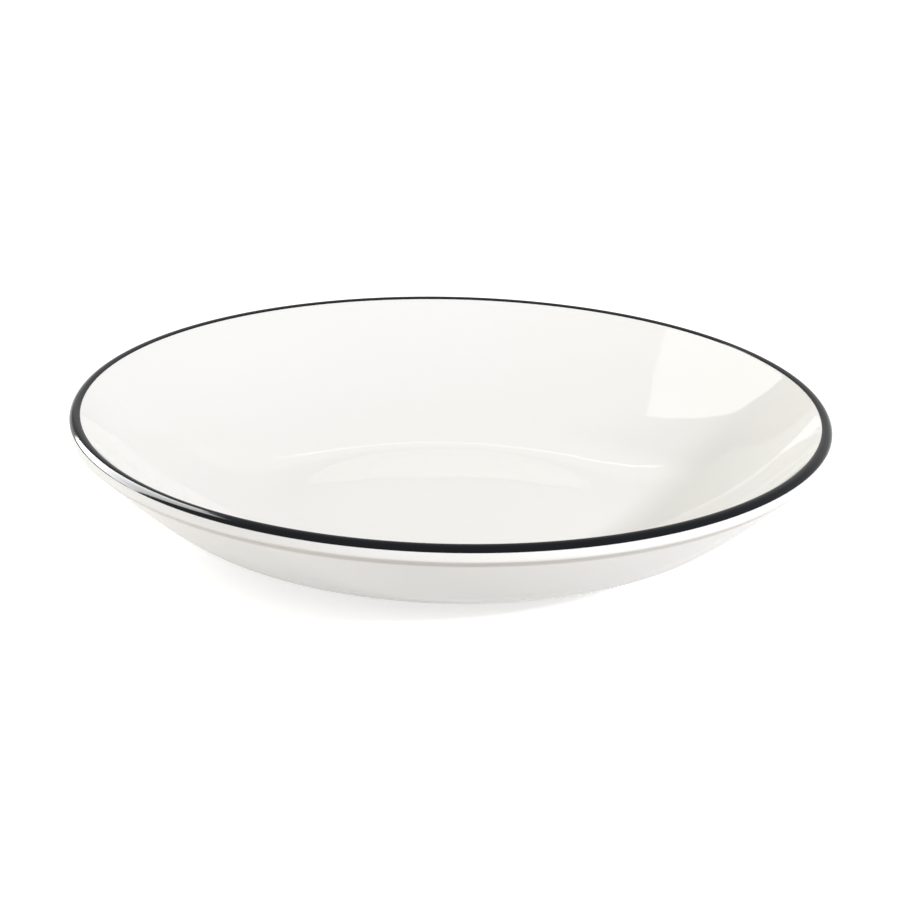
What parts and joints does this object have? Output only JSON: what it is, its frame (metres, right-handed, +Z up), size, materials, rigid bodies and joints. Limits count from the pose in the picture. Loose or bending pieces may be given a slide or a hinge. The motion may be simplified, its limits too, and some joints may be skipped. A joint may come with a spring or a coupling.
{
  "type": "soup plate",
  "caption": "Deep round plate with a curved wall, a thickened lip with a collar and a painted line, a flat well and a foot ring.",
  "frame": {"origin": "centre of the plane that the foot ring stands on", "axes": "+Z up, along the axis that the plate is turned about; X and Y lie in the standing plane and are alike"},
  "size_m": [0.2202, 0.2202, 0.0366],
  "materials": {
    "porcelain": "fired, bare and slightly rough on the standing edge",
    "glaze": "glossy clear glaze over warm white porcelain",
    "line_enamel": "glossy black enamel, painted by hand and fired on"
  },
  "bodies": {
    "root": {"plate_body": "porcelain", "glaze_coat": "glaze", "base_glaze": "glaze", "rim_line": "line_enamel"}
  },
  "joints": []
}
